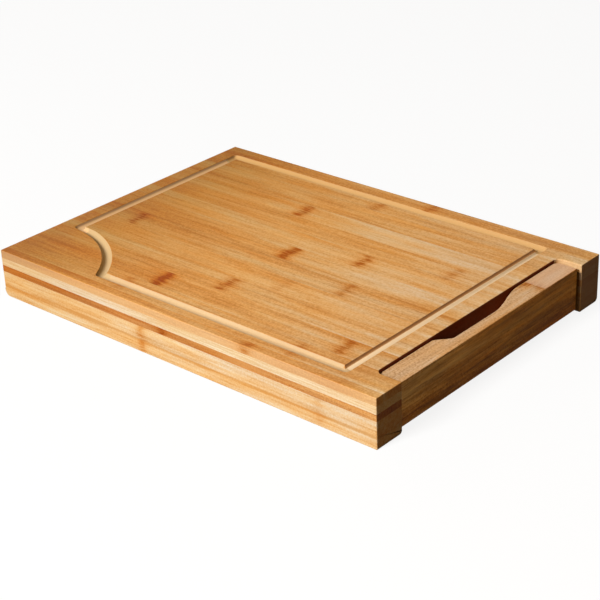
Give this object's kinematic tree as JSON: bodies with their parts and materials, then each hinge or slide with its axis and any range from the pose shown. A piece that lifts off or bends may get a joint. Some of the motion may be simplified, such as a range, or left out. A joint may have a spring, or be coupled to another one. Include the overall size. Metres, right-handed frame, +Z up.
{
  "type": "cutting board with drawer",
  "caption": "Thick bamboo cutting board with a routed juice groove, dark accent stripe and a wooden tray drawer that slides out of its end on side runners.",
  "frame": {"origin": "middle of the footprint, on the surface that the two side rails stand on", "axes": "+X out of the drawer end along the board's length, +Y across to the far rail, +Z up out of the cutting surface"},
  "size_m": [0.42, 0.3, 0.044],
  "materials": {
    "bamboo_top": "oiled satin",
    "bamboo_pale": "oiled satin",
    "bamboo_dark": "oiled satin",
    "bamboo_rail": "oiled satin",
    "bamboo_front": "oiled satin",
    "bamboo_box": "sanded, oiled",
    "bamboo_bottom": "sanded, oiled",
    "dowel_wood": "raw",
    "screw_steel": "zinc plated"
  },
  "bodies": {
    "board": {"upper_ply": "bamboo_top", "lower_ply": "bamboo_pale", "near_accent_strip": "bamboo_dark", "far_accent_strip": "bamboo_dark", "back_accent_strip": "bamboo_dark", "near_rail_upper": "bamboo_rail", "near_rail_lower": "bamboo_rail", "far_rail_upper": "bamboo_rail", "far_rail_lower": "bamboo_rail", "back_rail": "bamboo_rail", "near_runner": "bamboo_box", "far_runner": "bamboo_box", "runner_screws": "screw_steel", "near_rail_dowels": "dowel_wood", "far_rail_dowels": "dowel_wood", "back_rail_dowels": "dowel_wood"},
    "drawer": {"drawer_front": "bamboo_front", "drawer_near_side": "bamboo_box", "drawer_far_side": "bamboo_box", "drawer_back": "bamboo_box", "drawer_bottom": "bamboo_bottom", "drawer_front_dowels": "dowel_wood", "drawer_back_dowels": "dowel_wood"}
  },
  "joints": [
    {"name": "drawer_slide", "type": "slide", "parent": "board", "child": "drawer", "axis": [1, 0, 0], "range_m": [0, 0.29]}
  ]
}
